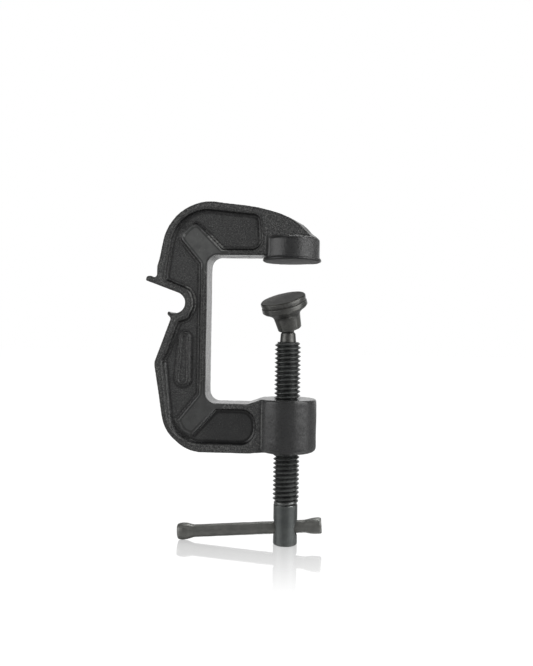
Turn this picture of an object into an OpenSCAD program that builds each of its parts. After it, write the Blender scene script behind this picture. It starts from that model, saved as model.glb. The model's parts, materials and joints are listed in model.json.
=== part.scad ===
// Small cast C-clamp whose spine carries a bottle-opener notch.
// Origin: on the screw axis in the plane of the anvil face. +Z runs up the screw, +X points from spine to jaws.

/* [Frame casting] */
// thickness of the casting across its two faces
frame_thick = 16.4; // [14:0.2:20]
// throat depth: screw axis to the inner face of the spine
throat_depth = 38.8; // [37:0.2:41]
// anvil face down to the top of the screw boss
jaw_height = 66.0; // [64:0.5:70]
// depth of the cast recess on each face
recess_depth = 1.7; // [0.8:0.1:3]
// height of the blank cartouche above the recess floor
cartouche_height = 0.7; // [0.3:0.1:0.8]

/* [Anvil and screw boss] */
// radius of the anvil's round body
anvil_r = 13.4; // [12.8:0.1:13.8]
// radius of the thin disc that bears on the work
anvil_face_r = 14.2; // [14:0.1:15]
// thickness of that disc
anvil_face_h = 1.5; // [1.2:0.1:2.4]
// height of the upper arm's underside above the disc's face
arm_under = 2.5; // [2.5:0.1:3]
// the anvil sits this far outward of the screw axis
anvil_shift = 1.3; // [0:0.1:1.5]
// radius of the round boss that the screw runs in
boss_r = 14.2; // [13.4:0.1:15]
// length of the screw boss
boss_len = 25.3; // [22:0.1:25.6]
// rounding of the boss's bottom rim
boss_round = 2.2; // [1:0.1:4]

/* [Bottle opener] */
// radius of the notch
notch_r = 5.1; // [4.6:0.1:5.3]

/* [Screw] */
// outside diameter of the thread
thread_d = 12.7; // [12:0.1:13]
// thread pitch, 12 threads per inch
thread_pitch = 2.1167; // [1.8:0.0001:2.4]
// depth of the V groove
thread_depth = 1.32; // [1:0.02:1.4]
// length of the threaded shank
thread_len = 78.3; // [74:0.1:80]
// radius of the plain head
head_r = 5.8; // [5.5:0.1:6.3]
// length of the plain head
head_len = 19.4; // [18:0.1:22]

/* [Swivel pad] */
// radius of the ball on the end of the screw
ball_r = 4.6; // [4.4:0.05:4.7]
// radius of the pad's rim
pad_r = 11.1; // [10.8:0.1:11.6]
// height of the pad face above the ball's centre
pad_face_h = 12.1; // [11.8:0.1:12.6]
// angle of the pad away from square, as it lies at rest
pad_lean = 21.4; // [0:0.1:21.5]
// compass direction of that lean, seen from above
pad_lean_dir = -127.6; // [-180:0.1:180]

/* [Tommy bar] */
// diameter of the sliding bar
bar_d = 6.0; // [5.8:0.1:6.2]
// length over both swaged ends
bar_len = 70.2; // [66:0.1:76]
// how far the bar's middle hangs toward the spine side
bar_offset = 17.5; // [0:0.1:19]
// droop of the bar's spine-side end, allowed by play in its hole
bar_droop = 4.5; // [0:0.1:4.6]

/* [Hidden] */

eps = 0.01;
run_gap = 0.05;
arc_step = 7;
small_arc_step = 22;
fine = 96;
half_thick = frame_thick / 2;
spine_x = -throat_depth;
anvil_body_top = 11.6;
boss_top = -jaw_height;
boss_bottom = boss_top - boss_len;
floor_top = boss_top - 2.35;
base_z = boss_bottom - 0.6;
bore_r = thread_d / 2 + 0.07;

ball_z = -28.9;
screw_top = ball_z - 9.7;
thread_end = screw_top - thread_len;
head_end = thread_end - head_len;
cross_hole_z = thread_end - 11.3;
cross_hole_r = bar_d / 2 + 0.52;
stud_pin_r = 2.0;
stud_pin_len = 5.5;
neck_r = 3.5;
neck_relief_r = 2.9;

notch = [-54.4, -20.5];
notch_mouth_angle = 69.9;
notch_rim_r = notch_r + 4.3;

frame_color = [0.09, 0.09, 0.095];
steel_color = [0.20, 0.20, 0.21];
thread_color = [0.10, 0.10, 0.105];

// ---- outline helpers: a vertex is [x, z, rounding radius] ----
function unit(v) = v / norm(v);
function xz(v) = [v[0], v[1]];
function arc(c, r, a0, a1) =
    let (n = max(2, ceil(abs(a1 - a0) / (r < 2 ? small_arc_step : arc_step))))
    [for (i = [0:n]) c + r * [cos(a0 + (a1 - a0) * i / n), sin(a0 + (a1 - a0) * i / n)]];
function rounded(p, q, s) =
    let (
        u = unit(xz(p) - xz(q)),
        w = unit(xz(s) - xz(q)),
        half = acos(u * w) / 2,
        c = xz(q) + unit(u + w) * q[2] / sin(half),
        a = xz(q) + u * q[2] / tan(half) - c,
        b = xz(q) + w * q[2] / tan(half) - c,
        a0 = atan2(a[1], a[0]),
        turn = (atan2(b[1], b[0]) - a0 + 540) % 360 - 180
    )
    arc(c, q[2], a0, a0 + turn);
function corner(p, q, s) = q[2] > 0 ? rounded(p, q, s) : [xz(q)];
// a run of vertices whose first and last points stay sharp
function run(v) = [
    for (i = [0:len(v) - 1])
        each (i == 0 || i == len(v) - 1 ? [xz(v[i])] : corner(v[i - 1], v[i], v[i + 1]))
];
// a list of points without its two ends
function between_ends(v) = [for (i = [1:len(v) - 2]) v[i]];
// a closed loop of vertices
function loop(v) = [
    for (i = [0:len(v) - 1])
        each corner(v[(i + len(v) - 1) % len(v)], v[i], v[(i + 1) % len(v)])
];

// ---- frame outline in the X-Z plane ----
below_notch = [
    [10.8, arm_under, 0],
    [spine_x, arm_under, 5],
    [spine_x, floor_top, 5],
    [-18.4, floor_top, 2.5],
    [-12.0, boss_top, 1.5],
    [-8.6, boss_top, 0],
    [-8.6, boss_bottom, 0],
    [-10.5, boss_bottom, 2],
    [-17.5, base_z, 12],
    [-47.2, base_z, 18],
    [-58.75, -81.5, 18],
    [-63.95, -49.6, 3],
    [-56.0, -27.9, 1.2],
    [-57.9, -26.1, 0.5],
    [-57.3, -24.5, 0.35],
    [-56.2, notch[1] - notch_r, 0.9],
    [notch[0], notch[1] - notch_r, 0]
];
tang_root = notch + notch_r * [cos(notch_mouth_angle), sin(notch_mouth_angle)];
above_notch = [
    [tang_root[0], tang_root[1], 0],
    [-68.5, tang_root[1] + (-68.5 - tang_root[0]) * -tan(90 - notch_mouth_angle), 0.4],
    [-68.2, -8.0, 0.7],
    [-66.3, -7.6, 1.2],
    [-64.5, -8.5, 0.9],
    [-63.2, -7.9, 1.0],
    [-63.15, -3.2, 1.5],
    [-62.0, 0.7, 3],
    [-56.1, 30.5, 23.2],
    [-14.4, 25.4, 70],
    [-2.7, 22.1, 30],
    [4.2, 18.1, 22],
    [10.8, 11.5, 0]
];
frame_outline = concat(
    run(below_notch),
    between_ends(arc(notch, notch_r, -90, notch_mouth_angle)),
    run(above_notch)
);

// ---- recess cast into each face ----
recess_below = [
    [-46.6, -26.0, 0],
    [-47.6, -28.3, 3],
    [-52.3, -29.9, 0.9],
    [-57.3, -44.4, 3],
    [-59.9, -48.6, 0.5],
    [-58.3, -49.2, 0.7],
    [-54.5, -87.4, 13.8],
    [-15.0, -87.4, 7],
    [-15.0, floor_top - 3.2, 6.5],
    [spine_x - 3.4, floor_top - 3.2, 0],
    [spine_x - 3.4, arm_under + 2.8, 0],
    [-12.7, arm_under + 2.8, 4.5],
    [-14.2, 21.4, 3.2],
    [-53.7, 25.4, 17.5],
    [-58.3, -5.0, 3],
    [-58.8, -9.4, 0.8],
    [-50.4, -12.7, 3],
    [-47.6, -14.1, 0]
];
recess_outline = concat(run(recess_below), arc(notch, notch_rim_r, 42, -32));

upper_band = [
    [-45.4, 19.1, 3.6],
    [-53.1, 11.3, 3.6],
    [spine_x - 1.0, -4.5, 0],
    [spine_x, arm_under, 0],
    [-30.8, 4.5, 0]
];
lower_band = [
    [spine_x - 2.0, -62.2, 0],
    [-52.8, -77.2, 1.2],
    [-50.4, -82.3, 4],
    [-45.4, -84.8, 2],
    [-32.5, floor_top - 2.0, 0],
    [spine_x, floor_top, 0]
];

// ---- second, shallower step along the lower outer rim ----
ridge_outline = [
    [-60.1, -49.3, 0.5],
    [-55.7, -88.5, 14.8],
    [-40.0, -86.9, 0],
    [-54.0, -86.9, 13.3],
    [-55.2, -49.3, 0.3]
];
ridge_depth = recess_depth * 0.5;

cartouche = [[-54.0, -60.8, 3.4], [-46.3, -60.8, 3.4], [-46.3, -34.2, 3.0], [-52.0, -34.2, 2.5]];

module slab(points, depth) {
    rotate([90, 0, 0])
        linear_extrude(height = depth, center = true)
            polygon(points);
}

module on_each_face(depth) {
    for (side = [-1, 1])
        translate([0, side * (half_thick - depth / 2 + eps / 2), 0])
            children();
}

module recess_cut() {
    rotate([90, 0, 0])
        linear_extrude(height = recess_depth + eps, center = true)
            difference() {
                polygon(recess_outline);
                polygon(loop(upper_band));
                polygon(loop(lower_band));
            }
}

module anvil() {
    translate([anvil_shift, 0, 0])
        rotate_extrude($fn = fine)
            polygon([
                [0, 0],
                [anvil_face_r - 0.4, 0],
                [anvil_face_r, 0.4],
                [anvil_face_r, anvil_face_h - 0.3],
                [anvil_face_r - 0.3, anvil_face_h],
                [anvil_r, anvil_face_h],
                [anvil_r, anvil_body_top - 1.2],
                [anvil_r - 1.0, anvil_body_top],
                [0, anvil_body_top]
            ]);
}

module screw_boss() {
    rotate_extrude($fn = fine)
        polygon(concat(
            [[0, boss_bottom]],
            arc([boss_r - boss_round, boss_bottom + boss_round], boss_round, -90, 0),
            [[boss_r, boss_top - 0.6], [boss_r - 0.6, boss_top], [0, boss_top]]
        ));
}

module screw_bore() {
    translate([0, 0, boss_bottom - 5])
        cylinder(r = bore_r, h = boss_len + 10, $fn = fine);
    for (mouth = [0, 1])
        translate([0, 0, mouth == 0 ? boss_bottom - eps : boss_top - 0.8 + eps])
            cylinder(r1 = bore_r + (mouth == 0 ? 0.8 : 0), r2 = bore_r + (mouth == 0 ? 0 : 0.8), h = 0.8, $fn = fine);
}

module cartouche_pad() {
    face_y = half_thick - recess_depth + cartouche_height / 2;
    for (side = [-1, 1])
        translate([0, side * face_y, 0])
            slab(loop(cartouche), cartouche_height + eps);
}

module frame() {
    color(frame_color)
    difference() {
        union() {
            difference() {
                slab(frame_outline, frame_thick);
                on_each_face(recess_depth) recess_cut();
                on_each_face(ridge_depth) slab(loop(ridge_outline), ridge_depth + eps);
            }
            cartouche_pad();
            anvil();
            screw_boss();
        }
        screw_bore();
    }
}

// ---- screw: V thread, plain head, cross hole ----
turns = floor((thread_len - 3.2) / thread_pitch);
thread_r = thread_d / 2;
root_r = thread_r - thread_depth;
crest_flat = 0.12;

function thread_profile() = [
    for (i = [0:turns - 1])
        let (z = screw_top - 1.6 - i * thread_pitch)
        each [
            [root_r, z],
            [thread_r, z - thread_pitch / 2 + crest_flat],
            [thread_r, z - thread_pitch / 2 - crest_flat]
        ]
];

module screw() {
    color(thread_color)
    difference() {
        rotate_extrude($fn = fine)
            polygon(concat(
                [[stud_pin_r + run_gap, screw_top]],
                [[root_r - 0.3, screw_top], [root_r, screw_top - 0.3]],
                thread_profile(),
                [
                    [root_r, screw_top - 1.6 - turns * thread_pitch],
                    [root_r, thread_end + 0.4],
                    [head_r - 0.3, thread_end],
                    [head_r, thread_end - 0.3],
                    [head_r, head_end + 0.5],
                    [head_r - 0.5, head_end],
                    [0, head_end],
                    [0, screw_top - stud_pin_len - 0.3],
                    [stud_pin_r + run_gap, screw_top - stud_pin_len - 0.3]
                ]
            ));
        translate([0, 0, cross_hole_z])
            rotate([0, 90, 0])
                cylinder(r = cross_hole_r, h = 4 * head_r, center = true, $fn = fine);
    }
}

// ---- ball stud: ball, neck and the pin it turns on ----
module ball_stud() {
    color(steel_color)
    union() {
        translate([0, 0, ball_z])
            sphere(r = ball_r, $fn = fine);
        rotate_extrude($fn = fine)
            polygon([
                [0, screw_top - stud_pin_len],
                [stud_pin_r - 0.3, screw_top - stud_pin_len],
                [stud_pin_r, screw_top - stud_pin_len + 0.3],
                [stud_pin_r, screw_top + run_gap],
                [neck_r, screw_top + run_gap],
                [neck_r, ball_z - 5.6],
                [neck_relief_r, ball_z - 4.9],
                [neck_relief_r, ball_z - 2],
                [0, ball_z - 2]
            ]);
    }
}

// ---- swivel pad: face disc over a socket crimped round the ball ----
socket_top_r = 6.5;
socket_foot_r = 5.7;
socket_mouth_h = -3.4;
flare_r = 2.2;
lip_h = -1.7;
cavity_r = ball_r + run_gap;
lip_r = sqrt(cavity_r * cavity_r - lip_h * lip_h);

module pad_body() {
    difference() {
        rotate_extrude($fn = fine)
            polygon([
                [0, lip_h],
                [0, pad_face_h],
                [pad_r - 0.5, pad_face_h],
                [pad_r - 0.1, pad_face_h - 0.5],
                [pad_r - 0.15, pad_face_h - 2.0],
                [pad_r - 0.6, pad_face_h - 2.2],
                [pad_r - 0.6, pad_face_h - 2.45],
                [pad_r, pad_face_h - 3.0],
                [pad_r - 0.05, 7.1],
                [pad_r - 0.9, 6.3],
                [socket_top_r + flare_r, 6.3],
                [socket_top_r + flare_r * (1 - sin(45)), 6.3 - flare_r * (1 - cos(45))],
                [socket_top_r, 6.3 - flare_r],
                [socket_foot_r, -2.2],
                [lip_r + 0.8, socket_mouth_h],
                [lip_r + 0.6, socket_mouth_h],
                [lip_r, lip_h]
            ]);
        sphere(r = cavity_r, $fn = fine);
    }
}

module swivel_pad() {
    color(steel_color)
        translate([0, 0, ball_z])
            rotate([0, 0, pad_lean_dir])
                rotate([0, pad_lean, 0])
                    pad_body();
}

// ---- tommy bar: plain rod with a swaged barrel on each end ----
bar_r = bar_d / 2;
barrel_len = 7.2;
barrel_r = bar_r + 1.1;

function barrel(z, dir) = [
    [bar_r + 0.5, z],
    [barrel_r - 0.22, z + dir * 1.0],
    [barrel_r, z + dir * 2.4],
    [barrel_r, z + dir * 3.6],
    [barrel_r - 0.2, z + dir * 4.8],
    [bar_r + 0.3, z + dir * 6.2],
    [bar_r, z + dir * barrel_len]
];

module tommy_bar() {
    color(steel_color)
        translate([0, 0, cross_hole_z])
            rotate([0, 90 - bar_droop, 0])
                translate([0, 0, -bar_offset])
                    rotate_extrude($fn = fine)
                        polygon(concat(
                            [[0, -bar_len / 2]],
                            barrel(-bar_len / 2, 1),
                            [for (i = [6:-1:0]) barrel(bar_len / 2, -1)[i]],
                            [[0, bar_len / 2]]
                        ));
}

frame();
ball_stud();
screw();
swivel_pad();
tommy_bar();
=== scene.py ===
"""Small cast C-clamp with a bottle-opener notch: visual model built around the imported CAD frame."""

import json
import math

import bmesh
import bpy
import numpy as np
from mathutils import Matrix, Vector, kdtree, noise
from mathutils.bvhtree import BVHTree

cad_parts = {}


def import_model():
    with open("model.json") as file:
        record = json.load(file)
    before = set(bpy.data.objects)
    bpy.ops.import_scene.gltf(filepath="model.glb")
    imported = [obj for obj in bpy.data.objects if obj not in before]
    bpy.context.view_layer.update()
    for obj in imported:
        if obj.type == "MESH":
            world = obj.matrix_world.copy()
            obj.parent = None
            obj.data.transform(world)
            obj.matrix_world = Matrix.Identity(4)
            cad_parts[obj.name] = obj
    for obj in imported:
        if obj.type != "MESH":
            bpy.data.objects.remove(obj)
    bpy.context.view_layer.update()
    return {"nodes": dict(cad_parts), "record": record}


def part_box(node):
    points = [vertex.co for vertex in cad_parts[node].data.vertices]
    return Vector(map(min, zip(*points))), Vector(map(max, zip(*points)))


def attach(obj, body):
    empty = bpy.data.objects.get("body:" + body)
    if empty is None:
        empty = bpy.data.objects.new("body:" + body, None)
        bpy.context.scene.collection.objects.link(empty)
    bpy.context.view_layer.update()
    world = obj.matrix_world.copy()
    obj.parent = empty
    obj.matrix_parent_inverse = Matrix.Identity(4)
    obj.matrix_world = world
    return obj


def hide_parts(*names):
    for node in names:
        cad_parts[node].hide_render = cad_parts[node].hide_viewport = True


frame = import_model()
MM = 0.001

# ---------------------------------------------------------------- places and sizes from the frame
record = frame["record"]
joints = {joint["name"]: joint for joint in record["behaviour"]["joints"]}
mounts = {mount["name"]: mount for mount in record["mounts"]}
thread_pitch = record["behaviour"]["couplings"][0]["ratio"] * 2 * math.pi
ball_centre = Vector(joints["pad_tilt"]["pos_m"])
pad_axis = Vector(mounts["pad_face"]["axis"]).normalized()
pad_face_h = (Vector(mounts["pad_face"]["pos_m"]) - ball_centre).dot(pad_axis)
bar_axis = Vector(joints["bar_slide"]["axis"]).normalized()
screw_top = joints["screw_spin"]["pos_m"][2]


def corners(node):
    """The vertices of a CAD node as an array."""
    mesh = frame["nodes"][node].data
    points = np.empty(len(mesh.vertices) * 3)
    mesh.vertices.foreach_get("co", points)
    return points.reshape(-1, 3)


def reach(node, origin, axis):
    """How far a CAD node runs along an axis, as (lowest, highest), and its greatest radius about it."""
    relative = corners(node) - np.array(origin)
    along = relative @ np.array(axis)
    across = np.linalg.norm(relative - np.outer(along, np.array(axis)), axis=1)
    return along.min(), along.max(), across.max()


floor_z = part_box("screw")[0].z
thread_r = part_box("screw")[1].x
bar_centre = (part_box("tommy_bar")[0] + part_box("tommy_bar")[1]) / 2
cross_hole_z = bar_centre.z - bar_axis.z * bar_centre.x / bar_axis.x
bar_low, bar_high, barrel_r = reach("tommy_bar", (0, 0, cross_hole_z), bar_axis)
pad_r = reach("swivel_pad", ball_centre, pad_axis)[2]

# ---------------------------------------------------------------- sizes of the detail, in millimetres
FACE_Y = 8.2
RECESS = 1.7
BOSS_TOP = -66.0
BOSS_BOTTOM = -91.3
THREAD_DEPTH = 1.32
THREAD_END = -116.9
HEAD_R = 5.8
CROSS_HOLE_R = 3.52
NECK_R = 3.6
BALL_R = 4.6
# more than the roughening of ball and socket together, so that they never meet
SOCKET_PLAY = 0.14
BAR_R = 3.0
# vertices closer than this are one, in metres
WELD = 1e-7


# ---------------------------------------------------------------- camera
CAMERA_AZIMUTH = math.radians(4.7)
CAMERA_DISTANCE = 329.46 * MM
CAMERA_AIM = Vector((-10.5, 0, -34.4)) * MM
CAMERA_ROLL = 0.0157
CAMERA_LENS = 36.757
SENSOR_WIDTH = 36


def make_camera():
    """A level camera that stands off along -Y, turned by its azimuth and rolled a little."""
    right = Vector((math.cos(CAMERA_AZIMUTH), math.sin(CAMERA_AZIMUTH), 0))
    back = Vector((math.sin(CAMERA_AZIMUTH), -math.cos(CAMERA_AZIMUTH), 0))
    data = bpy.data.cameras.new("camera")
    data.lens = CAMERA_LENS
    data.sensor_width = SENSOR_WIDTH
    data.clip_start, data.clip_end = 0.01, 20
    camera = bpy.data.objects.new("camera", data)
    bpy.context.scene.collection.objects.link(camera)
    turn = Matrix((right, (0, 0, 1), back)).transposed() @ Matrix.Rotation(CAMERA_ROLL, 3, "Z")
    place = right * CAMERA_AIM.x + back * CAMERA_DISTANCE + Vector((0, 0, CAMERA_AIM.z))
    camera.matrix_world = Matrix.Translation(place) @ turn.to_4x4()
    bpy.context.scene.camera = camera


make_camera()


# ---------------------------------------------------------------- mesh helpers
def new_object(name, mesh):
    piece = bpy.data.objects.new(name, mesh)
    bpy.context.scene.collection.objects.link(piece)
    return piece


def mesh_of(name, points, faces, scale=MM):
    mesh = bpy.data.meshes.new(name)
    mesh.from_pydata([Vector(p) * scale for p in points], [], faces)
    mesh.validate()
    return mesh


def apply_modifiers(piece):
    """Replaces a piece's mesh by what its modifiers make of it."""
    bpy.context.view_layer.update()
    graph = bpy.context.evaluated_depsgraph_get()
    made = bpy.data.meshes.new_from_object(piece.evaluated_get(graph), depsgraph=graph)
    piece.modifiers.clear()
    old, piece.data = piece.data, made
    bpy.data.meshes.remove(old)


def cut(piece, tool):
    """Takes the tool's volume out of a piece, and removes the tool."""
    modifier = piece.modifiers.new("cut", "BOOLEAN")
    modifier.operation = "DIFFERENCE"
    modifier.solver = "MANIFOLD"
    modifier.object = tool
    apply_modifiers(piece)
    bpy.data.objects.remove(tool)


def soften(piece, rounds):
    """Applies a piece's modifiers and then evens its surface out, a number of times."""
    modifier = piece.modifiers.new("soften", "SMOOTH")
    modifier.factor = 0.5
    modifier.iterations = rounds
    apply_modifiers(piece)


def vertices_of(mesh):
    points = np.empty(len(mesh.vertices) * 3)
    mesh.vertices.foreach_get("co", points)
    return points.reshape(-1, 3)


def normals_of(mesh):
    normals = np.empty(len(mesh.vertices) * 3)
    mesh.vertex_normals.foreach_get("vector", normals)
    return normals.reshape(-1, 3)


def set_vertices(mesh, points):
    mesh.vertices.foreach_set("co", points.ravel())
    mesh.update()


def grain(points, size, seed):
    """Smooth noise from -1 to 1 with bumps of about that size, in metres."""
    shift = Vector((seed * 7.31, seed * 3.17, seed * 5.73))
    return np.array([noise.noise(Vector(p) / size + shift) for p in points])


def roughen(piece, amounts, seed):
    """Moves the surface in and out by noise; amounts holds (size, height) pairs in millimetres."""
    mesh = piece.data
    points = vertices_of(mesh)
    normals = normals_of(mesh)
    for step, (size, height) in enumerate(amounts):
        points = points + normals * (grain(points, size * MM, seed + step) * height * MM)[:, None]
    set_vertices(mesh, points)


def shade(piece, angle=35):
    """Smooth shading with sharp edges above an angle."""
    mesh = piece.data
    mesh.polygons.foreach_set("use_smooth", [True] * len(mesh.polygons))
    mesh.set_sharp_from_angle(angle=math.radians(angle))


def store(mesh, name, values):
    attribute = mesh.attributes.new(name, "FLOAT", "POINT")
    attribute.data.foreach_set("value", np.asarray(values, np.float32))


def values_of(mesh, name):
    values = np.empty(len(mesh.vertices), np.float32)
    mesh.attributes[name].data.foreach_get("value", values)
    return values


def scale_stored(mesh, name, factor):
    """Multiplies a stored attribute by a factor for each vertex."""
    mesh.attributes[name].data.foreach_set("value", (values_of(mesh, name) * factor).astype(np.float32))


def neighbour_mean(mesh, values, rounds=1):
    """Averages values over the vertices joined by an edge, a number of times."""
    edges = np.empty(len(mesh.edges) * 2, int)
    mesh.edges.foreach_get("vertices", edges)
    a, b = edges.reshape(-1, 2).T
    count = np.bincount(a, minlength=len(values)) + np.bincount(b, minlength=len(values))
    count = np.maximum(count, 1)
    for _ in range(rounds):
        if values.ndim == 1:
            total = np.bincount(a, values[b], len(values)) + np.bincount(b, values[a], len(values))
            values = total / count
        else:
            values = np.stack([neighbour_mean(mesh, column) for column in values.T], 1)
    return values


def store_edges(piece, reach_mm, spread=2, rounds=3):
    """Stores how far each vertex stands out of, or lies in, the surface round it: the convex edges carry
    wear and painted shading, the creases painted shade.
    """
    mesh = piece.data
    points = vertices_of(mesh)
    offset = points - neighbour_mean(mesh, points, rounds)
    out = np.einsum("ij,ij->i", offset, normals_of(mesh)) / (reach_mm * MM)
    out = neighbour_mean(mesh, out, spread)
    store(mesh, "wear_and_edge_shading", np.clip(out, 0, 1))
    store(mesh, "crease_shade", np.clip(-out, 0, 1))


# ---------------------------------------------------------------- turned shapes
ARC_STEP = math.radians(12)
# a radius below this, in millimetres, lies on the axis
ON_AXIS = 1e-6


def rounded(points):
    """A profile of (radius, height) points from (radius, height, rounding) ones."""
    made = []
    for i, point in enumerate(points):
        here = Vector(point[:2])
        rounding = point[2] if len(point) > 2 else 0
        if not rounding or i in (0, len(points) - 1):
            made.append(tuple(here))
            continue
        back = (Vector(points[i - 1][:2]) - here).normalized()
        ahead = (Vector(points[i + 1][:2]) - here).normalized()
        half = back.angle(ahead) / 2
        centre = here + (back + ahead).normalized() * rounding / math.sin(half)
        start = here + back * rounding / math.tan(half) - centre
        turn = math.pi - 2 * half
        side = 1 if back.x * ahead.y - back.y * ahead.x < 0 else -1
        steps = max(2, math.ceil(turn / ARC_STEP))
        for k in range(steps + 1):
            angle = side * turn * k / steps
            made.append((
                centre.x + start.x * math.cos(angle) - start.y * math.sin(angle),
                centre.y + start.x * math.sin(angle) + start.y * math.cos(angle),
            ))
    return made


def arc(r0, h0, radius, start, end, step=9):
    """Points of a circular arc in a profile, angles in degrees from the outward direction."""
    count = max(2, math.ceil(abs(end - start) / step))
    angles = [math.radians(start + (end - start) * k / count) for k in range(count + 1)]
    return [(r0 + radius * math.cos(a), h0 + radius * math.sin(a)) for a in angles]


def fine(profile, longest):
    """The same profile with its long straight stretches cut up, so that noise can move them."""
    made = [profile[0]]
    for (r0, h0), (r1, h1) in zip(profile, profile[1:]):
        count = max(1, math.ceil(math.hypot(r1 - r0, h1 - h0) / longest))
        made += [(r0 + (r1 - r0) * k / count, h0 + (h1 - h0) * k / count) for k in range(1, count + 1)]
    return made


def add_ring(points, radius, height, segments):
    """Adds a ring of points about Z, or the one point on the axis, and returns its indices."""
    if radius < ON_AXIS:
        points.append((0, 0, height))
        return [len(points) - 1] * segments
    for k in range(segments):
        angle = 2 * math.pi * k / segments
        points.append((radius * math.cos(angle), radius * math.sin(angle), height))
    return list(range(len(points) - segments, len(points)))


def join_rings(low, high, flip=False):
    """The faces between two rings of indices, without the corners that fall together."""
    faces = []
    for k in range(len(low)):
        nxt = (k + 1) % len(low)
        quad = [low[k], low[nxt], high[nxt], high[k]]
        if flip:
            quad.reverse()
        face = [v for i, v in enumerate(quad) if v not in quad[:i]]
        if len(face) > 2:
            faces.append(face)
    return faces


def turned(name, profile, segments=128):
    """A solid of revolution about Z from a closed profile, or one with both ends on the axis."""
    points = []
    rings = [add_ring(points, radius, height, segments) for radius, height in profile]
    faces = [face for low, high in zip(rings, rings[1:]) for face in join_rings(low, high)]
    return mesh_of(name, points, faces)


def stand(mesh, origin, axis):
    """Moves a mesh made about Z so that it stands at origin along axis."""
    turn = Vector((0, 0, 1)).rotation_difference(Vector(axis)).to_matrix().to_4x4()
    mesh.transform(Matrix.Translation(origin) @ turn)


# ---------------------------------------------------------------- thread
THREAD_SEGMENTS = 96
# the rows of a turn: two at the root, two half way up the flanks and two at the crest
ROWS_PER_TURN = 6
CREST_FLAT = 0.12
ROOT_FLAT = 0.16
# the height of a thread crest on the spine side, which sets the helix's phase
CREST_HEIGHT = -40.2


def thread_rows(low, high, crest_r, root_r, swell=0.0):
    """Helical rows from low to high, as (height at angle 0, radius); swell widens the crests."""
    pitch = thread_pitch / MM
    crest = CREST_FLAT / 2 + swell
    root = pitch / 2 - max(ROOT_FLAT / 2 - swell, 0.02)
    middle = (crest_r + root_r) / 2
    half = (crest + root) / 2
    offsets = [
        (-root, root_r), (-half, middle), (-crest, crest_r),
        (crest, crest_r), (half, middle), (root, root_r)
    ]
    first = CREST_HEIGHT - pitch / 2
    start = math.floor((low - first) / pitch) - 2
    end = math.ceil((high - first) / pitch) + 2
    return [(first + turn * pitch + dh, r) for turn in range(start, end + 1) for dh, r in offsets]


def threaded(name, rows, low, high, limit, bottom, top):
    """A threaded solid about Z. limit(height) caps the radius; bottom and top are the plain ends."""
    pitch = thread_pitch / MM
    segments = THREAD_SEGMENTS
    points = []
    for height, radius in rows:
        for k in range(segments):
            angle = 2 * math.pi * k / segments
            h = height + pitch * k / segments
            z = min(max(h, low), high)
            r = limit(z) if h <= low or h >= high else min(radius, limit(z))
            points.append((r * math.cos(angle), r * math.sin(angle), z))
    faces = []
    last_row = len(rows) - ROWS_PER_TURN - 1
    for row in range(last_row):
        for k in range(segments):
            here = row * segments + k
            # past the last segment a row goes on as the row one turn higher
            ahead = here + 1 if k < segments - 1 else (row + ROWS_PER_TURN) * segments
            faces.append((here, ahead, ahead + segments, here + segments))
    for plain, end_row, flip in ((bottom, 0, True), (top, last_row, False)):
        last = [end_row * segments + k for k in range(segments)]
        for radius, height in plain:
            ring = add_ring(points, radius, height, segments)
            faces += join_rings(last, ring, flip)
            last = ring
    return tidy(mesh_of(name, points, faces))


def tidy(mesh):
    """Merges vertices that fall together and drops the faces that vanish."""
    work = bmesh.new()
    work.from_mesh(mesh)
    bmesh.ops.remove_doubles(work, verts=work.verts, dist=WELD)
    bmesh.ops.dissolve_degenerate(work, dist=WELD / 10, edges=work.edges)
    bmesh.ops.recalc_face_normals(work, faces=work.faces)
    work.to_mesh(mesh)
    work.free()
    return mesh


# ---------------------------------------------------------------- materials
def add_node(tree, kind, inputs=None, **settings):
    """Adds a node; inputs maps its sockets to values, or to the outputs that feed them."""
    made = tree.nodes.new(kind)
    for key, value in settings.items():
        setattr(made, key, value)
    for key, value in (inputs or {}).items():
        if isinstance(value, bpy.types.NodeSocket):
            tree.links.new(value, made.inputs[key])
        else:
            made.inputs[key].default_value = value
    return made


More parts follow.
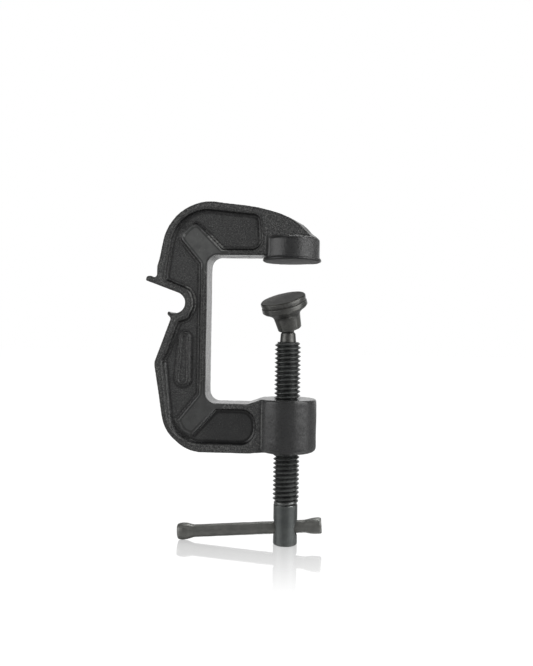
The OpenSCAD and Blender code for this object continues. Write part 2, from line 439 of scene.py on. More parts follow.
class Look:
    """A node material under construction."""

    def __init__(self, name):
        self.material = bpy.data.materials.new(name)
        self.material.use_nodes = True
        self.tree = self.material.node_tree
        self.shader = self.tree.nodes["Principled BSDF"]
        self.place = self.tree.nodes.new("ShaderNodeTexCoord").outputs["Object"]

    def add(self, kind, inputs=None, **settings):
        return add_node(self.tree, kind, inputs, **settings)

    def noise(self, size, detail=3.0, rough=0.55, stretch=None):
        """Noise with features of about that size in metres; stretch scales the place first."""
        place = self.place
        if stretch:
            place = self.add("ShaderNodeMapping", {"Vector": place, "Scale": stretch}).outputs[0]
        inputs = {"Vector": place, "Scale": 1 / size, "Detail": detail, "Roughness": rough}
        return self.add("ShaderNodeTexNoise", inputs).outputs["Fac"]

    def cells(self, size):
        """Rounded cells of about that size in metres."""
        inputs = {"Vector": self.place, "Scale": 1 / size}
        return self.add("ShaderNodeTexVoronoi", inputs, feature="SMOOTH_F1").outputs["Distance"]

    def ramp(self, value, low, high, start=0.0, end=1.0):
        """Maps value from low..high to start..end, clamped."""
        inputs = {0: value, 1: low, 2: high, 3: start, 4: end}
        return self.add("ShaderNodeMapRange", inputs).outputs[0]

    def maths(self, operation, a, b):
        return self.add("ShaderNodeMath", {0: a, 1: b}, operation=operation).outputs[0]

    def mix(self, share, a, b):
        """A colour between a and b."""
        return self.add("ShaderNodeMix", {0: share, 6: a, 7: b}, data_type="RGBA").outputs[2]

    def stored(self, name):
        """A value stored on the mesh's vertices."""
        return self.add("ShaderNodeAttribute", attribute_name=name).outputs["Fac"]

    def bump(self, height, strength, distance, before=None):
        inputs = {"Height": height, "Strength": strength, "Distance": distance}
        if before is not None:
            inputs["Normal"] = before
        return self.add("ShaderNodeBump", inputs).outputs[0]

    def finish(self, **sockets):
        """Sets or links the shader's sockets and returns the material."""
        for key, value in sockets.items():
            socket = self.shader.inputs[key.replace("_", " ")]
            if isinstance(value, bpy.types.NodeSocket):
                self.tree.links.new(value, socket)
            else:
                socket.default_value = value
        return self.material


def tone(red, green, blue):
    """An sRGB colour, given from 0 to 255, as linear RGBA."""
    linear = [((c / 255 + 0.055) / 1.055) ** 2.4 if c > 10 else c / 255 / 12.92 for c in (red, green, blue)]
    return (*linear, 1.0)


def enamel_look():
    """Black textured enamel: grainy on rims and panels, smoother on bands, boss and anvil."""
    look = Look("black_enamel")
    smooth = look.stored("smooth")
    wear_and_edge_shading = look.stored("wear_and_edge_shading")
    crease_shade = look.stored("crease_shade")
    light = look.stored("light")
    wall = look.stored("wall")
    blotch = look.noise(4 * MM, 4)
    speck = look.noise(0.50 * MM, 3, 0.6)
    pebble = look.cells(1.0 * MM)
    colour = look.mix(light, tone(40, 40, 41), tone(110, 111, 110))
    colour = look.mix(look.ramp(blotch, 0.35, 0.65, 0, 0.3), colour, tone(44, 43, 45))
    grainy = look.ramp(smooth, -1, 1, 1.9, 0.06)
    # the grain: darker hollows as painted shade
    pit_shade = look.maths("MULTIPLY", look.ramp(speck, 0.5, 0.3, 0, 0.7), grainy)
    colour = look.mix(pit_shade, colour, tone(16, 16, 17))
    # the grain: lighter tops as painted glints
    peak_glint = look.maths("MULTIPLY", look.ramp(speck, 0.54, 0.70, 0, 0.55), grainy)
    colour = look.mix(peak_glint, colour, tone(126, 126, 122))
    # painted shade: the enamel goes near black in creases
    colour = look.mix(look.ramp(crease_shade, 0.1, 0.6, 0, 0.7), colour, tone(8, 8, 9))
    # painted shade: the steep recess walls go near black
    colour = look.mix(look.ramp(wall, 0.2, 0.9, 0, 0.75), colour, tone(8, 8, 9))
    # painted shade: the enamel darkens along convex edges
    colour = look.mix(look.ramp(wear_and_edge_shading, 0.35, 0.8, 0, 0.5), colour, tone(14, 14, 14))
    dots = look.ramp(look.noise(0.8 * MM, 3), 0.40, 0.58, 0.25, 1.0)
    # wear and painted highlights: lighter dotted lines along edges and on the nose
    colour = look.mix(look.maths("MULTIPLY", look.stored("rubbed_and_glint"), dots), colour, tone(166, 167, 164))
    height = look.maths("ADD", look.maths("MULTIPLY", pebble, 0.7), speck)
    height = look.maths("MULTIPLY", height, grainy)
    normal = look.bump(height, 0.9, 0.30 * MM)
    rough = look.ramp(look.noise(1.2 * MM, 2), 0.3, 0.7, 0.18, 0.28)
    rough = look.maths("ADD", rough, look.maths("MULTIPLY", look.stored("dull"), 0.45))
    return look.finish(Base_Color=colour, Roughness=rough, Normal=normal, IOR=1.5)


def steel_look(name, dark, light, rough_low, rough_high, lay, brown=0.0):
    """Black-oxide steel with fine turning marks; lay stretches them, brown is the share of stain."""
    look = Look(name)
    wear_and_edge_shading = look.stored("wear_and_edge_shading")
    crease_shade = look.stored("crease_shade")
    blotch = look.noise(3.5 * MM, 5, 0.6)
    marks = look.noise(0.5 * MM, 4, 0.6, lay)
    colour = look.mix(look.ramp(blotch, 0.35, 0.68), dark, light)
    if brown:
        stain = look.ramp(look.noise(2.2 * MM, 6, 0.65), 0.55, 0.75, 0, brown)
        colour = look.mix(stain, colour, tone(104, 96, 84))
    # wear and painted highlight: the steel lightens along convex edges
    colour = look.mix(look.ramp(wear_and_edge_shading, 0.15, 0.9, 0, 0.4), colour, tone(130, 131, 130))
    # painted shade: the steel goes dark in creases
    colour = look.mix(look.ramp(crease_shade, 0.1, 0.9, 0, 0.75), colour, tone(30, 30, 30))
    rough = look.ramp(marks, 0.3, 0.7, rough_low, rough_high)
    normal = look.bump(marks, 0.35, 0.03 * MM)
    normal = look.bump(look.noise(0.9 * MM, 3), 0.25, 0.06 * MM, normal)
    return look.finish(Base_Color=colour, Metallic=0.5, Roughness=rough, Normal=normal)


LOOKS = {
    "enamel": enamel_look(),
    "thread": steel_look(
        "blackened_thread", tone(72, 74, 73), tone(106, 109, 108), 0.22, 0.36, (0.3, 0.3, 3)),
    "head": steel_look(
        "satin_head", tone(86, 90, 89), tone(101, 104, 103), 0.34, 0.46, (0.3, 0.3, 3)),
    "pad": steel_look(
        "satin_pad", tone(86, 86, 84), tone(104, 104, 101), 0.24, 0.38, (0.5, 0.5, 2), 0.2),
    # the pad's face: a darker, duller copy of the pad's steel, the darkness painted shade
    "pad_face": steel_look(
        "shaded_pad_face", tone(56, 56, 53), tone(80, 80, 76), 0.38, 0.54, (1, 1, 1), 0.3),
    "bar": steel_look(
        "drawn_bar", tone(112, 113, 110), tone(128, 128, 124), 0.34, 0.46, (0.15, 3, 3), 0.15),
}


def dress(piece, look, body, slot, *replaced):
    """Gives a finished piece its material and body, and hides the CAD nodes it stands for; the slot argument
    is not used.
    """
    piece.data.materials.clear()
    piece.data.materials.append(LOOKS[look])
    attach(piece, body)
    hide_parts(*replaced)


def near(distance, inner, outer):
    """1 inside the inner distance, 0 beyond the outer one, smooth between."""
    share = np.clip((outer - distance) / (outer - inner), 0, 1)
    return share * share * (3 - 2 * share)


# ---------------------------------------------------------------- frame casting
# the width of a full-depth recess wall from its crest to its foot: along the top, elsewhere, on the
# lower arm, and where the top and the lower arm begin
WALL_WIDTH_TOP, WALL_WIDTH, WALL_WIDTH_LOW = 1.0, 1.35, 1.7
TOP_ABOVE = 15
LOW_BELOW, LOW_RIGHT_OF = -68, -46
# a wall higher than this share of the recess is of full depth
FULL_DEPTH = 0.9
# the outer ends of the two bands slope gently: the lines they follow, how far from them, and their width
SOFT_ENDS = (
    ((-45.4, 19.1), (-53.1, 11.3)),
    ((-52.6, -77.8), (-50.4, -82.3)),
    ((-50.4, -82.3), (-46.2, -84.4)),
)
SOFT_END_NEAR, SOFT_END_WIDTH = 1.3, 4.0
# a raised border on the cartouche: its distance from the cartouche's edge, its half width and its height
BORDER_IN, BORDER_HALF, BORDER_HEIGHT = 1.3, 0.55, 0.45
# the cartouche's top lies at least this far below the face
CARTOUCHE_DOWN = 0.9
# where the ridge along the lower corner runs out into the rim, and how many times it is evened out there
RIDGE_END = (-49.7, -87.5)
RIDGE_EVENING = 10
# the spacing of the points along the walls' feet, and the slack when a level is compared with its wall
FOOT_STEP = 0.12
LEVEL_SLACK = 0.2
# walls higher than this have a marked edge along the foot too
DEEP_WALL = 1.2
# rays that look for the relief start in front of the casting
RAY_START = Vector((0, -30, 0)) * MM
VOXEL = 0.34
SOFTENING = 6
# the radius of the anvil's bearing face, and how far its middle stands below its rim
ANVIL_R = 14.2
ANVIL_DOME = 0.4
NUT_CREST_R = 5.16
NUT_ROOT_R = 6.44
NUT_FILL_R = 7.2
NUT_FILL_INSET = 0.3
NUT_PLAY = 0.09


def level_faces(work):
    """The faces of the relief on the casting's front: recess floors, ridges and the cartouche's top."""
    shallow, deep = FACE_Y - 0.1, FACE_Y - RECESS - 0.1
    return [
        face for face in work.faces
        if face.normal.y < -0.99 and deep < -face.calc_center_median().y / MM < shallow
    ]


def from_segment(x, z, start, end):
    """The distance of a place from a segment, in the X-Z plane."""
    here, run = Vector((x - start[0], z - start[1])), Vector((end[0] - start[0], end[1] - start[1]))
    share = min(max(here.dot(run) / run.dot(run), 0), 1)
    return (here - run * share).length


def wall_width(x, z, height):
    """The width of a wall of that height at a place, all in millimetres."""
    if height > FULL_DEPTH * RECESS and min(from_segment(x, z, *end) for end in SOFT_ENDS) < SOFT_END_NEAR:
        return SOFT_END_WIDTH
    if z > TOP_ABOVE:
        width = WALL_WIDTH_TOP
    elif z < LOW_BELOW and x > LOW_RIGHT_OF:
        width = WALL_WIDTH_LOW
    else:
        width = WALL_WIDTH
    return width * math.sqrt(height / RECESS)


class Relief:
    """The recessed relief of the casting's faces, as drops below the flat filled face."""

    def __init__(self, node):
        self.work = bmesh.new()
        self.work.from_mesh(frame["nodes"][node].data)
        bmesh.ops.remove_doubles(self.work, verts=self.work.verts, dist=WELD)
        self.work.normal_update()
        self.levels = level_faces(self.work)
        self.solid = BVHTree.FromBMesh(self.work)
        self.feet = self.wall_feet()
        self.tree = kdtree.KDTree(len(self.feet))
        for index, foot in enumerate(self.feet):
            self.tree.insert((foot[0], 0, foot[1]), index)
        self.tree.balance()

    def wall_feet(self):
        """Points along the foot of every wall, each as (x, z, |y| at the foot, |y| at the top, width)."""
        feet = []
        level_set = set(self.levels)
        for edge in self.work.edges:
            inside = [face for face in edge.link_faces if face in level_set]
            walls = [face for face in edge.link_faces if abs(face.normal.y) < 0.1]
            if len(inside) != 1 or len(walls) != 1:
                continue
            low = inside[0].calc_center_median().y
            high = min(vertex.co.y for vertex in walls[0].verts)
            if high > low - 0.1 * MM:
                continue
            start, end = (vertex.co for vertex in edge.verts)
            count = max(1, math.ceil((end - start).length / (FOOT_STEP * MM)))
            for k in range(count + 1):
                place = start.lerp(end, k / count)
                width = wall_width(place.x / MM, place.z / MM, (low - high) / MM) * MM
                feet.append((place.x, place.z, -low, -high, width))
        return feet

    def fill(self, work):
        """Adds prisms to work that fill the relief up to the flat of both faces."""
        for side in (1, -1):
            for face in self.levels:
                low = [work.verts.new((v.co.x, side * (v.co.y + 0.2 * MM), v.co.z)) for v in face.verts]
                high = [work.verts.new((v.co.x, -side * FACE_Y * MM, v.co.z)) for v in face.verts]
                work.faces.new(low)
                work.faces.new(high)
                for k in range(len(low)):
                    nxt = (k + 1) % len(low)
                    work.faces.new((low[k], low[nxt], high[nxt], high[k]))

    def at(self, x, z):
        """The relief's drop at a place, how much the place is on a steep wall, which sets the painted shade
        on the walls, and how much on a wall's edge.
        """
        _, index, away = self.tree.find((x, 0, z))
        _, _, low, high, width = self.feet[index]
        hit = self.solid.ray_cast(RAY_START + Vector((x, 0, z)), Vector((0, 1, 0)))[0]
        if hit is None:
            return 0.0, 0.0, 0.0
        level = -hit.y
        if level > high + LEVEL_SLACK * MM or level < low - LEVEL_SLACK * MM:
            return FACE_Y * MM - level, 0.0, 0.0
        signed = away if level < (low + high) / 2 else -away
        across = min(max(signed / width + 0.5, 0), 1)
        drop = FACE_Y * MM - high + (high - low) * (1 - (1 - across) ** 2)
        if high < (FACE_Y - CARTOUCHE_DOWN) * MM and signed < 0:
            drop -= BORDER_HEIGHT * MM * near(abs(away / MM - BORDER_IN), 0.1, BORDER_HALF)
        steep = min(max(((high - low) / width - 0.5) / 0.7, 0), 1)
        crest = near(abs(signed / width + 0.5), 0.06, 0.28)
        foot = near(abs(signed / width - 0.5), 0.06, 0.28)
        edge = crest if high - low < DEEP_WALL * MM else max(crest, foot)
        return drop, steep * near(abs(signed / width + 0.1), 0.1, 0.6), steep * edge


# the arm's nose runs down onto the anvil's top, drafted away from the middle: its outline in the X-Z plane
# close to the faces and in the middle, and the Y at which each one stands
NOSE_AT_FACE = (
    (-1.0, 10.5), (-0.5, 20.9), (3.4, 18.2), (5.6, 16.4),
    (7.6, 14.5), (9.6, 12.5), (12.0, 11.2), (12.4, 10.5),
)
NOSE_AT_MIDDLE = (
    (-1.0, 10.5), (-0.5, 21.3), (3.6, 19.4), (6.8, 17.6),
    (9.0, 15.6), (10.8, 13.5), (13.0, 11.9), (13.0, 10.5),
)
NOSE_SECTIONS = ((-7.9, NOSE_AT_FACE), (-3.0, NOSE_AT_MIDDLE), (3.0, NOSE_AT_MIDDLE), (7.9, NOSE_AT_FACE))


def add_shoulder(work):
    """Adds the nose's drafted shoulder to work."""
    rings = [[work.verts.new((x * MM, y * MM, z * MM)) for x, z in outline] for y, outline in NOSE_SECTIONS]
    work.faces.new(rings[0])
    work.faces.new(rings[-1])
    for ring, after in zip(rings, rings[1:]):
        for k in range(len(ring)):
            nxt = (k + 1) % len(ring)
            work.faces.new((ring[k], ring[nxt], after[nxt], after[k]))


def softened_copy(node, relief):
    """A CAD node without its relief and with its bore filled, as an even mesh with softened edges."""
    inner, outer = NUT_CREST_R - NUT_FILL_INSET, NUT_FILL_R
    bottom, top = BOSS_BOTTOM + NUT_FILL_INSET, BOSS_TOP - NUT_FILL_INSET
    fill = fine([(inner, bottom), (outer, bottom), (outer, top), (inner, top), (inner, bottom)], 3)
    ring = tidy(turned("fill", fill))
    work = bmesh.new()
    work.from_mesh(frame["nodes"][node].data)
    work.from_mesh(ring)
    bmesh.ops.remove_doubles(work, verts=work.verts, dist=WELD)
    relief.fill(work)
    add_shoulder(work)
    bmesh.ops.recalc_face_normals(work, faces=work.faces)
    mesh = bpy.data.meshes.new("casting")
    work.to_mesh(mesh)
    work.free()
    mesh.materials.clear()
    piece = new_object("casting", mesh)
    remesh = piece.modifiers.new("remesh", "REMESH")
    remesh.mode = "VOXEL"
    remesh.voxel_size = VOXEL * MM
    soften(piece, SOFTENING)
    return piece


def press_relief(piece, relief):
    """Presses the relief into both faces, and stores how much each vertex is on a wall, for painted shade on
    the walls, or on its edge.
    """
    mesh = piece.data
    points = vertices_of(mesh)
    facing = np.abs(normals_of(mesh)[:, 1]) > 0.7
    level = np.abs(points[:, 1])
    flat = facing & (level > (FACE_Y - 0.5) * MM) & (level < (FACE_Y + 0.2) * MM)
    wall, edge = np.zeros(len(points)), np.zeros(len(points))
    for index in np.flatnonzero(flat):
        x, y, z = points[index]
        drop, wall[index], edge[index] = relief.at(x, z)
        points[index, 1] = y - math.copysign(drop, y)
    ease = np.hypot(points[:, 0] / MM - RIDGE_END[0], points[:, 2] / MM - RIDGE_END[1])
    ease = near(ease, 1.5, 2.6) * (np.abs(points[:, 1]) > 5 * MM)
    even = neighbour_mean(mesh, points[:, 1], RIDGE_EVENING)
    points[:, 1] += ease * flat * (even - points[:, 1])
    set_vertices(mesh, points)
    # less painted wall shade where the ridge runs out into the rim
    wall *= 1 - 0.6 * ease
    store(mesh, "wall", wall)
    store(mesh, "edge", edge)
    soften(piece, 1)


def nut_tap():
    """The volume that the screw's thread needs in the boss."""
    low, high = BOSS_BOTTOM - 3, BOSS_TOP + 3
    rows = thread_rows(low, high, NUT_ROOT_R, NUT_CREST_R, NUT_PLAY)
    mesh = threaded("tap", rows, low, high, lambda height: NUT_ROOT_R, [(0, low)], [(0, high)])
    return new_object("tap", mesh)


# the diagonal bands, each as the line along its middle and half its width, in the X-Z plane
UPPER_BAND = ((-46.5, 12.5), (-34.0, -1.0), 8.0)
LOWER_BAND = ((-47.0, -78.0), (-36.0, -65.0), 8.5)


def band_share(points, band):
    """How much each point belongs to a band."""
    (x0, z0), (x1, z1), half = band
    start, end = np.array((x0, z0)), np.array((x1, z1))
    flat = points[:, [0, 2]] / MM - start
    run = end - start
    t = np.clip(flat @ run / (run @ run), 0, 1)
    away = np.linalg.norm(flat - t[:, None] * run, axis=1)
    high = near(-np.abs(points[:, 1]) / MM, -FACE_Y + 0.3, -FACE_Y + 1.0)
    return near(away, half - 1.0, half) * high


def dome_anvil(piece):
    """Gives the anvil's bearing face a slight dome about the screw's axis."""
    mesh = piece.data
    points = vertices_of(mesh)
    x, y, z = (points / MM).T
    r = np.hypot(x, y)
    face = near(r, 14.4, 14.8) * near(z, 0.3, 1.0) * near(-z, 0.5, 1.0)
    points[:, 2] += face * (ANVIL_DOME * (r / ANVIL_R) ** 3 - ANVIL_DOME / 3) * MM
    set_vertices(mesh, points)


# where paint is lighter from wear and from painted highlights: lines in the X-Z plane, each as its two ends,
# its reach and its strength
RUBBED_AND_GLINT_LINES = (
    # the upper band's edge, and the arm's nose
    ((-37.5, 11.2), (-30.8, 4.5), 1.3, 0.8),
    ((4.6, 18.0), (12.0, 12.4), 2.2, 0.25),
    # the outer rim down the spine and round the lower corner
    ((-59.6, -50), (-58.0, -66), 1.6, 0.55),
    ((-58.0, -66), (-56.2, -78), 1.6, 0.55),
    ((-56.2, -78), (-50.5, -86.0), 1.8, 0.7),
    ((-50.5, -86.0), (-42.5, -88.5), 1.6, 0.4),
    # the ridge inside it
    ((-55.4, -50), (-55.0, -74), 1.0, 0.45),
    ((-55.0, -74), (-51.5, -83.5), 1.2, 0.6),
)
# the edge round the opener notch gets the same wear and painted highlight: its centre, its radius, and how
# much
NOTCH_X, NOTCH_Z, NOTCH_RIM_R = -54.4, -20.5, 9.9
NOTCH_RUBBED_AND_GLINT = 0.7
# how much every wall's edge along the spine gets wear and painted highlight
SPINE_RUBBED_AND_GLINT = 0.14
# the middle of the nose's slope, which gets wear and a painted highlight across its whole width
NOSE_X, NOSE_Z = 8, 15.6


def rubbed_and_glint_lines(mesh, points):
    """How much the paint is lighter from wear and painted highlights: on the nose, and where a wall's edge
    lies on one of the lines.
    """
    x, z = (points[:, [0, 2]] / MM).T
    share = np.zeros(len(points))
    for start, end, width, strength in RUBBED_AND_GLINT_LINES:
        start, run = np.array(start), np.array(end) - np.array(start)
        flat = np.stack([x, z], 1) - start
        along = np.clip(flat @ run / (run @ run), 0, 1)
        away = np.linalg.norm(flat - along[:, None] * run, axis=1)
        share = np.maximum(share, strength * near(away, width * 0.8, width))
    angle = np.degrees(np.arctan2(z - NOTCH_Z, x - NOTCH_X))
    away = np.abs(np.hypot(x - NOTCH_X, z - NOTCH_Z) - NOTCH_RIM_R)
    share = np.maximum(share, NOTCH_RUBBED_AND_GLINT * near(away, 1.2, 1.5) * near(np.abs(angle - 15), 35, 50))
    share = np.maximum(share, SPINE_RUBBED_AND_GLINT * near(z, 14, 15) * near(-z, 60, 62))
    nose = near(np.abs(x - NOSE_X), 4.6, 5.2) * near(np.abs(z - NOSE_Z), 3.6, 4.2)
    return share * np.maximum(values_of(mesh, "edge"), nose * near(np.abs(points[:, 1]) / MM, 7.4, 7.9))


# the anvil stands this far outward of the screw's axis
ANVIL_X = 1.3
# the seam where the lower arm runs into the boss, which gets a painted highlight line
SEAM_X, SEAM_Z = -11.7, -79


class Regions:
    """How much each vertex of the casting belongs to each of its parts, from 0 to 1."""

    def __init__(self, mesh, points):
        x, y, z = (points / MM).T
        level = np.abs(y)
        from_axis, from_anvil = np.hypot(x, y), np.hypot(x - ANVIL_X, y)
        self.boss = near(from_axis, 14.4, 15.2) * near(z, BOSS_TOP + 0.5, BOSS_TOP + 1.0)
        self.boss_side = self.boss * near(z, BOSS_TOP - 1.6, BOSS_TOP - 1.0)
        self.anvil = near(from_anvil, 14.4, 15.0) * near(z, 11.2, 12.2) * near(-z, 1, 2)
        self.anvil_right = self.anvil * near(-x, -7, -3)
        self.jaws = near(from_anvil, 16, 18) * near(z, 16, 18)
        self.bearing = near(from_axis, 14.2, 14.6) * near(np.abs(z), 0.5, 0.9)
        self.bearing_face = near(from_axis, 13.9, 14.2) * near(np.abs(z), 0.35, 0.6)
        self.upper_band = band_share(points, UPPER_BAND)
        self.lower_band = band_share(points, LOWER_BAND)
        self.lower_arm = near(-x, 34, 46) * near(z, -68, -62)
        self.sides = near(np.abs(normals_of(mesh)[:, 1]), 0.3, 0.6)
        raised = [self.boss, self.anvil, self.upper_band, self.lower_band, self.sides]
        self.rim = near(-level, -FACE_Y + 0.4, -FACE_Y + 0.9) * (1 - np.maximum.reduce(raised))
        self.spine_side = near(x, -25, -12)
        recess_floor = near(level, FACE_Y - RECESS + 0.25, FACE_Y - RECESS + 0.7) * near(x, -15, -14)
        self.panel = recess_floor * (1 - self.upper_band) * (1 - self.lower_band)
        self.seam = (
            near(np.abs(x - SEAM_X), 0.15, 0.5) * near(np.abs(level - FACE_Y), 0.5, 0.9)
            * near(np.abs(z - SEAM_Z), 10, 11)
        )

    def smooth(self):
        """How smooth the enamel is; below 0 it is grainier than elsewhere."""
        parts = [
            self.boss * 0.9, self.anvil * 0.8 - self.anvil_right * 0.6,
            self.lower_arm * 0.7 * (1 - self.rim), self.sides, self.upper_band, self.lower_band
        ]
        return np.maximum.reduce(parts) - 0.6 * self.rim * (0.4 + 0.6 * self.spine_side)

    def light(self):
        """How light the enamel's colour is: the bands lighter, partly from their smoother enamel and partly
        as a painted sheen, the recess panels darker as painted shade.
        """
        bands = 0.60 * self.upper_band + 0.24 * self.lower_band
        # painted shade: the recess panels darker, most on the lower arm
        panels = 0.02 * self.panel + 0.05 * self.panel * self.lower_arm
        rims = 0.03 * self.rim + 0.08 * self.rim * self.lower_arm
        ends = 0.65 * self.bearing_face - 0.08 * self.boss - 0.07 * self.anvil
        return 0.28 + bands - panels + rims + ends

    def dull(self):
        """How dull the enamel is: the bearing disc most, then the drum and the boss's side."""
        return np.maximum(self.bearing - 0.35 * self.bearing_face, 0.16 * self.anvil + 0.14 * self.boss_side)


def casting():
    """The frame: arms, spine, anvil, boss and opener in one cast piece, with the thread in its boss."""
    relief = Relief("frame")
    piece = softened_copy("frame", relief)
    press_relief(piece, relief)
    store_edges(piece, 0.16, 1, 12)
    dome_anvil(piece)
    roughen(piece, [(9, 0.12), (2.6, 0.05), (1.1, 0.03)], 1)
    cut(piece, nut_tap())
    mesh = piece.data
    points = vertices_of(mesh)
    regions = Regions(mesh, points)
    store(mesh, "smooth", regions.smooth())
    store(mesh, "light", regions.light())
    store(mesh, "dull", regions.dull())
    # a painted highlight line along the seam joins the wear and painted highlights
    store(mesh, "rubbed_and_glint", np.clip(rubbed_and_glint_lines(mesh, points) + 0.3 * regions.seam, 0, 1))
    # no painted crease shade in the jaws or along the seam
    scale_stored(mesh, "crease_shade", 1 - np.maximum(0.7 * regions.jaws, regions.seam))
    # less painted edge shade on the lower arm
    scale_stored(mesh, "wear_and_edge_shading", 1 - 0.7 * regions.lower_arm)
    shade(piece, 50)
    dress(piece, "enamel", "frame", "black_casting", "frame")


# ---------------------------------------------------------------- screw
# the neck's pin, and the blind bore that it stands in
PIN_R, PIN_BORE_R = 2.0, 2.05
PIN_LENGTH, PIN_BORE_DEPTH = 5.5, 5.8
# the narrowest place of the neck, and the angle in degrees at which the ball grows out of it
THROAT_R = 2.9
BALL_START = -50.9
# half the length of the cross hole's cutter, which stands out of the head
HOLE_REACH = 9


def screw():
    """The threaded shank with its plain cross-drilled head, and the bore for the neck's pin."""
    low, high = THREAD_END, screw_top / MM
    crest, root = thread_r / MM, thread_r / MM - THREAD_DEPTH
    bottom_z = floor_z / MM
    rows = thread_rows(low, high, crest, root)

    def limit(height):
        """The greatest radius at a height: the crest, less the chamfers at both ends of the thread."""
        from_top = high - height
        from_end = height - low
        top_chamfer = min(crest - 1.25 + from_top * 1.4, crest - 0.95 + from_top * 0.75)
        return min(crest, top_chamfer, HEAD_R - 0.25 + from_end * 0.35)

    bottom = fine(rounded([
        (limit(low), low), (HEAD_R, low - 0.35, 0.3), (HEAD_R, bottom_z, 0.7), (0, bottom_z)
    ])[1:], 1.2)
    bore_end = high - PIN_BORE_DEPTH
    top = [
        (root - 0.3, high), (PIN_BORE_R + 0.1, high), (PIN_BORE_R, high - 0.1),
        (PIN_BORE_R, bore_end), (0, bore_end)
    ]
    piece = new_object("threaded_screw", threaded("screw", rows, low, high, limit, bottom, top))
    half_hole = [
        (CROSS_HOLE_R, 3.6, 1.0), (CROSS_HOLE_R + 0.35, 5.0, 1.0),
        (CROSS_HOLE_R + 2.0, HOLE_REACH), (0, HOLE_REACH)
    ]
    hole = rounded([(point[0], -point[1], *point[2:]) for point in half_hole[::-1]] + half_hole)
    tool_mesh = turned("hole", hole, 96)
    stand(tool_mesh, (0, 0, cross_hole_z), (1, 0, 0))
    cut(piece, new_object("hole", tidy(tool_mesh)))
    roughen(piece, [(4, 0.03), (1.3, 0.02)], 11)
    store_edges(piece, 0.16, 0)
    shade(piece, 32)
    dress(piece, "thread", "screw", "blackened_thread", "screw")
    piece.data.materials.append(LOOKS["head"])
    for face in piece.data.polygons:
        if face.center.z / MM < low - 0.2:
            face.material_index = 1


def ball_stud():
    """The neck and ball on the screw's end, with the pin that stands in the screw."""
    high = screw_top / MM
    ball = ball_centre.z / MM
    pin_end = high - PIN_LENGTH
    profile = rounded([
        (0, pin_end), (PIN_R - 0.3, pin_end), (PIN_R, pin_end + 0.3), (PIN_R, high + 0.05),
        (NECK_R + 0.4, high + 0.05, 0.1), (NECK_R + 0.3, high + 0.5, 0.3), (NECK_R, ball - 5.7, 0.5),
        (THROAT_R, ball - 4.8, 0.4), (THROAT_R, ball - 3.57)
    ])
    profile = fine(profile, 1.0) + arc(0, ball, BALL_R, BALL_START, 90)[1:-1] + [(0, ball + BALL_R)]
    piece = new_object("ball_and_neck", tidy(turned("ball_stud", profile)))
    roughen(piece, [(3, 0.02), (1.0, 0.012)], 21)
    store_edges(piece, 0.12)
    shade(piece, 40)
    dress(piece, "pad", "ball_stud", "blackened_steel", "ball_stud")


# ---------------------------------------------------------------- swivel pad
def swivel_pad():
    """The turned pad: a grooved face disc, and a socket whose mouth is crimped round the ball."""
    rim, face = pad_r / MM, pad_face_h / MM
    socket, foot, lip_h = 6.5, 5.7, -1.7
    cavity = BALL_R + SOCKET_PLAY
    lip = math.sqrt(cavity ** 2 - lip_h ** 2)
    outside = rounded([
        (0, face), (rim - 0.5, face, 0.2), (rim - 0.1, face - 0.5, 0.25), (rim - 0.15, face - 1.9, 0.15),
        (rim - 0.8, face - 2.15, 0.1), (rim - 0.8, face - 2.45, 0.1), (rim - 0.05, face - 2.9, 0.3),
        (rim, face - 4.9, 0.4), (rim - 0.9, face - 5.8, 0.3), (socket + 3.0, face - 5.9, 0.2),
        (socket + 0.1, face - 8.1, 2.8), (foot + 0.05, -3.1, 0.5), (lip + 1.0, -3.45, 0.2),
        (lip + 0.5, -3.45, 0.1), (lip, lip_h)
    ])
    start = math.degrees(math.atan2(lip_h, lip))
    inside = arc(0, 0, cavity, start, 90)[1:-1] + [(0, cavity)]
    mesh = tidy(turned("swivel_pad", fine(outside, 0.8) + inside))
    stand(mesh, ball_centre, pad_axis)
    piece = new_object("swivel_pad_turned", mesh)
    roughen(piece, [(5, 0.05), (1.6, 0.03)], 31)
    store_edges(piece, 0.12)
    shade(piece, 40)
    dress(piece, "pad", "swivel_pad", "blackened_steel", "swivel_pad")
    # the face gets the darker copy: painted shade
    piece.data.materials.append(LOOKS["pad_face"])
    for polygon in piece.data.polygons:
        if (polygon.center - ball_centre).dot(pad_axis) > pad_face_h - 0.4 * MM:
            polygon.material_index = 1


# ---------------------------------------------------------------- tommy bar
def tommy_bar():
    """The sliding bar, with a swaged barrel on each end."""
    low, high = bar_low / MM, bar_high / MM
    full = barrel_r / MM

    def barrel(end, way, ball, waist):
        """Profile points of one swaged end, from its face to the plain rod; way is 1 at the low end."""
        return [
            (full - 0.55, end, 0.3), (full - 0.2, end + way * 1.0, 1.5), (ball, end + way * 2.7, 2.0),
            (ball - 0.2, end + way * 4.6, 2.0), (waist, end + way * 6.4, 2.0), (BAR_R, end + way * 8.0, 3.0)
        ]

    left = barrel(low, 1, full - 0.02, BAR_R + 0.4)
    right = barrel(high, -1, full - 0.22, BAR_R + 0.35)
    profile = fine(rounded([(0, low)] + left + right[::-1] + [(0, high)]), 0.9)
    mesh = tidy(turned("tommy_bar", profile, 96))
    stand(mesh, (0, 0, cross_hole_z), bar_axis)
    piece = new_object("tommy_bar_swaged", mesh)
    roughen(piece, [(6, 0.10), (2.2, 0.05)], 41)
    store_edges(piece, 0.12)
    shade(piece, 40)
    dress(piece, "bar", "tommy_bar", "blackened_steel", "tommy_bar")


casting()
screw()
ball_stud()
swivel_pad()
tommy_bar()


# ---------------------------------------------------------------- floor and light
FLOOR_WHITE = 1.0
FLOOR_GLOSS = 0.50
FLOOR_MATT = (0.08, 0.08, 0.08, 1)
# half its side and the gap under the clamp, in metres
FLOOR_HALF = 3.0
FLOOR_GAP = 0.02 * MM
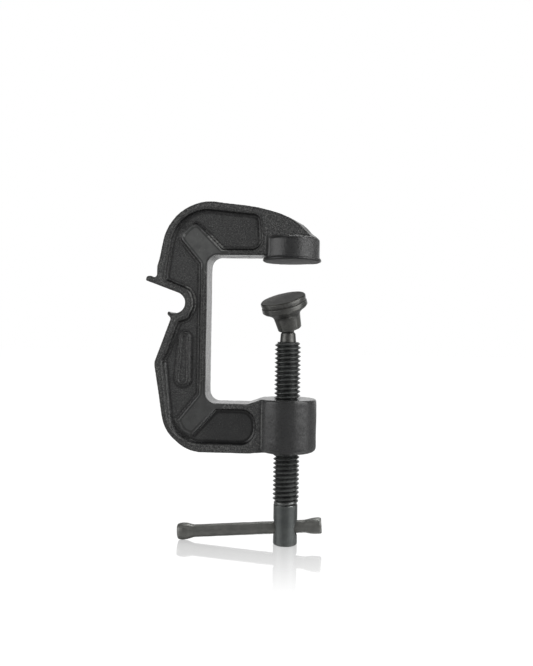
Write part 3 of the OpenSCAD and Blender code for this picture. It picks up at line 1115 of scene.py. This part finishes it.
# how bright the floor is as light on the object, near it and far behind it
BOUNCE_NEAR, BOUNCE_FAR = 0.2, 1.0
BOUNCE_START, BOUNCE_END = 0.45, 1.0
FLOOR_FADE = 70 * MM
# the bright disc behind the object: the share of +Y in a direction where it begins and where it is full
DISC_START, DISC_FULL = 0.72, 0.94
WORLD_DARK = 0.05
# each lamp's place and size in millimetres, and its power in watts
LAMPS = {
    "key_right": ((370, -190, 60), (420, 440), 1.32),
    "fill_left": ((-380, -200, 20), (420, 440), 1.1),
    "high_right": ((300, -90, 260), (220, 220), 0.6),
    "high_back": ((20, 200, 440), (260, 260), 1.4),
}
LAMP_AIM = Vector((0, 0, -55)) * MM


def floor_material():
    """White to the camera, dimmer as light on the object, with a reflection that fades away from it."""
    material = bpy.data.materials.new("floor")
    material.use_nodes = True
    tree = material.node_tree
    tree.nodes.clear()
    path = add_node(tree, "ShaderNodeLightPath")
    place = add_node(tree, "ShaderNodeTexCoord")
    split = add_node(tree, "ShaderNodeSeparateXYZ", {0: place.outputs["Object"]})
    bounce = add_node(tree, "ShaderNodeMapRange", {
        "Value": split.outputs["Y"], "From Min": BOUNCE_START, "From Max": BOUNCE_END,
        "To Min": BOUNCE_NEAR, "To Max": BOUNCE_FAR
    })

    def glow(strength):
        """Full strength to the camera, dimmed near the object as light on it."""
        dimmed = add_node(tree, "ShaderNodeMath", {0: bounce.outputs[0], 1: strength}, operation="MULTIPLY")
        choice = {0: path.outputs["Is Camera Ray"], 2: dimmed.outputs[0], 3: strength}
        seen = add_node(tree, "ShaderNodeMix", choice)
        return add_node(tree, "ShaderNodeEmission", {"Strength": seen.outputs[0]}).outputs[0]

    def both(a, b):
        return add_node(tree, "ShaderNodeAddShader", {0: a, 1: b}).outputs[0]

    matt = add_node(tree, "ShaderNodeBsdfDiffuse", {"Color": FLOOR_MATT}).outputs[0]
    gloss_colour = (FLOOR_GLOSS, FLOOR_GLOSS, FLOOR_GLOSS, 1)
    gloss = add_node(tree, "ShaderNodeBsdfGlossy", {"Color": gloss_colour, "Roughness": 0.0}).outputs[0]
    away = add_node(tree, "ShaderNodeMath", {0: split.outputs["Y"]}, operation="ABSOLUTE")
    fade = add_node(tree, "ShaderNodeMapRange", {
        "Value": away.outputs[0], "From Min": 0.0, "From Max": FLOOR_FADE
    })
    close_by = both(both(glow(FLOOR_WHITE - FLOOR_GLOSS), gloss), matt)
    far_off = both(glow(FLOOR_WHITE), matt)
    pick = add_node(tree, "ShaderNodeMixShader", {0: fade.outputs[0], 1: close_by, 2: far_off})
    add_node(tree, "ShaderNodeOutputMaterial", {"Surface": pick.outputs[0]})
    return material


def floor():
    """A plain white sheet under the clamp."""
    half = FLOOR_HALF
    corner_points = [(-half, -half, 0), (half, -half, 0), (half, half, 0), (-half, half, 0)]
    mesh = mesh_of("floor", corner_points, [(0, 1, 2, 3)], 1)
    mesh.materials.append(floor_material())
    piece = new_object("floor", mesh)
    piece.location.z = floor_z - FLOOR_GAP
    # the clamp stands on its screw, so the floor follows the screw's travel
    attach(piece, "ball_stud")


def softbox(name, place, size, power):
    """A rectangular lamp that faces the object."""
    data = bpy.data.lights.new(name, "AREA")
    data.shape = "RECTANGLE"
    data.size, data.size_y = size[0] * MM, size[1] * MM
    data.energy = power
    lamp = bpy.data.objects.new(name, data)
    bpy.context.scene.collection.objects.link(lamp)
    lamp.location = Vector(place) * MM
    lamp.rotation_mode = "QUATERNION"
    lamp.rotation_quaternion = (LAMP_AIM - lamp.location).to_track_quat("-Z", "Y")


def world():
    """White to the camera, in the floor and behind the object, darker on the camera's side."""
    made = bpy.data.worlds.new("studio")
    bpy.context.scene.world = made
    made.use_nodes = True
    tree = made.node_tree
    tree.nodes.clear()
    place = add_node(tree, "ShaderNodeTexCoord")
    path = add_node(tree, "ShaderNodeLightPath")
    split = add_node(tree, "ShaderNodeSeparateXYZ", {0: place.outputs["Generated"]})
    ramp = add_node(tree, "ShaderNodeMapRange", {
        "Value": split.outputs["Y"], "From Min": DISC_START, "From Max": DISC_FULL,
        "To Min": WORLD_DARK, "To Max": 1.0
    })
    rays = {0: path.outputs["Is Camera Ray"], 1: path.outputs["Is Singular Ray"]}
    seen = add_node(tree, "ShaderNodeMath", rays, operation="MAXIMUM")
    pick = add_node(tree, "ShaderNodeMix", {0: seen.outputs[0], 2: ramp.outputs[0], 3: 1.0})
    back = add_node(tree, "ShaderNodeBackground", {"Color": (1, 1, 1, 1), "Strength": pick.outputs[0]})
    add_node(tree, "ShaderNodeOutputWorld", {"Surface": back.outputs[0]})


floor()
world()
for lamp_name, (lamp_place, lamp_size, lamp_power) in LAMPS.items():
    softbox(lamp_name, lamp_place, lamp_size, lamp_power)

view = bpy.context.scene.view_settings
view.view_transform = "Standard"
view.look = "None"
